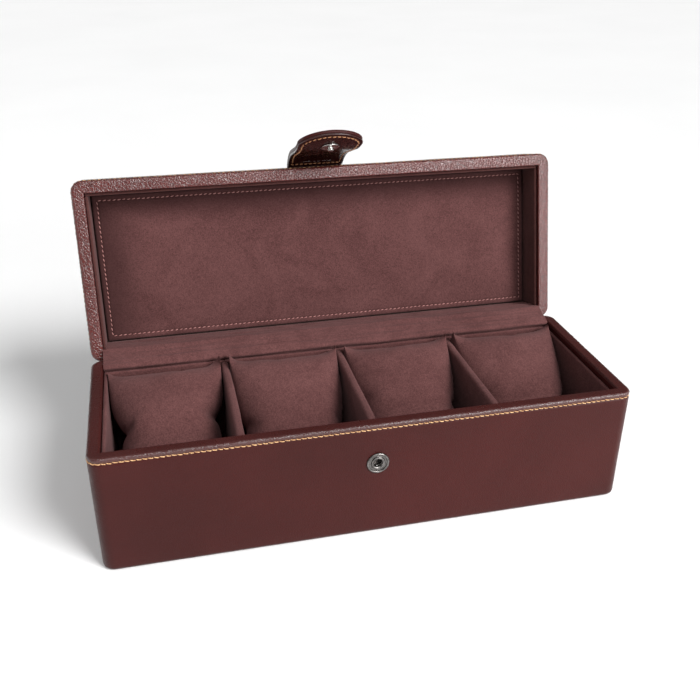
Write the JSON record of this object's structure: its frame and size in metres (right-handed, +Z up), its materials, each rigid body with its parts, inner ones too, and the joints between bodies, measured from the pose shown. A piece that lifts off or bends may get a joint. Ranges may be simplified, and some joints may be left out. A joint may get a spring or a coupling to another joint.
{
  "type": "watch box",
  "caption": "Rectangular leather watch box with a hinged lid, suede-lined compartments with loose pillow cushions, and a strap that snaps shut at the front.",
  "frame": {"origin": "centre of the base's underside, on the surface it stands on", "axes": "+X along the box, +Y towards the hinge, +Z up; the front with the snap faces -Y"},
  "size_m": [0.31, 0.172, 0.2094],
  "materials": {
    "leather": "satin",
    "strap_lining_leather": "satin",
    "suede": "matte",
    "lining": "matte",
    "bottom_cloth": "matte",
    "fibreboard": "matte",
    "card": "matte",
    "foam": "matte",
    "filling": "matte",
    "snap_metal": "satin",
    "spring_wire": "polished"
  },
  "bodies": {
    "base": {"base_front_board": "fibreboard", "base_rear_board": "fibreboard", "base_left_board": "fibreboard", "base_right_board": "fibreboard", "base_floor_board": "fibreboard", "base_cover": "leather", "bottom_panel": "bottom_cloth", "lining_front": "lining", "lining_rear": "lining", "lining_left": "lining", "lining_right": "lining", "lining_floor": "lining", "divider_core_1": "card", "divider_core_2": "card", "divider_core_3": "card", "divider_suede_1": "suede", "divider_suede_2": "suede", "divider_suede_3": "suede", "snap_socket": "snap_metal", "snap_spring": "spring_wire", "snap_post": "snap_metal", "hinge_spine": "leather", "hinge_flap": "suede"},
    "lid": {"lid_front_board": "fibreboard", "lid_rear_board": "fibreboard", "lid_left_board": "fibreboard", "lid_right_board": "fibreboard", "lid_top_board": "fibreboard", "lid_cover": "leather", "lid_lining_front": "lining", "lid_lining_left": "lining", "lid_lining_right": "lining", "lid_panel_card": "card", "lid_panel_foam": "foam", "lid_panel_suede": "suede", "strap_tab": "leather", "strap_neck": "leather"},
    "strap": {"strap_outer": "leather", "strap_lining": "strap_lining_leather", "snap_cap": "snap_metal", "snap_stud": "snap_metal"},
    "cushion_1": {"cushion_suede_1": "suede", "cushion_filling_1": "filling"},
    "cushion_2": {"cushion_suede_2": "suede", "cushion_filling_2": "filling"},
    "cushion_3": {"cushion_suede_3": "suede", "cushion_filling_3": "filling"},
    "cushion_4": {"cushion_suede_4": "suede", "cushion_filling_4": "filling"}
  },
  "joints": [
    {"name": "lid_hinge", "type": "hinge", "parent": "base", "child": "lid", "pos_m": [0, 0.056, 0.0716], "axis": [-1, 0, 0], "range_deg": [-104, 0], "deforming": ["hinge_spine", "hinge_flap"]},
    {"name": "strap_flex", "type": "hinge", "parent": "lid", "child": "strap", "pos_m": [0, 0.1122, 0.17302], "axis": [-1, 0, 0], "range_deg": [-10.7, 60], "deforming": ["strap_neck"]},
    {"name": "cushion_1_lift", "type": "slide", "parent": "base", "child": "cushion_1", "axis": [0, 0, 1], "range_m": [0, 0.09]},
    {"name": "cushion_2_lift", "type": "slide", "parent": "base", "child": "cushion_2", "axis": [0, 0, 1], "range_m": [0, 0.09]},
    {"name": "cushion_3_lift", "type": "slide", "parent": "base", "child": "cushion_3", "axis": [0, 0, 1], "range_m": [0, 0.09]},
    {"name": "cushion_4_lift", "type": "slide", "parent": "base", "child": "cushion_4", "axis": [0, 0, 1], "range_m": [0, 0.09]}
  ]
}
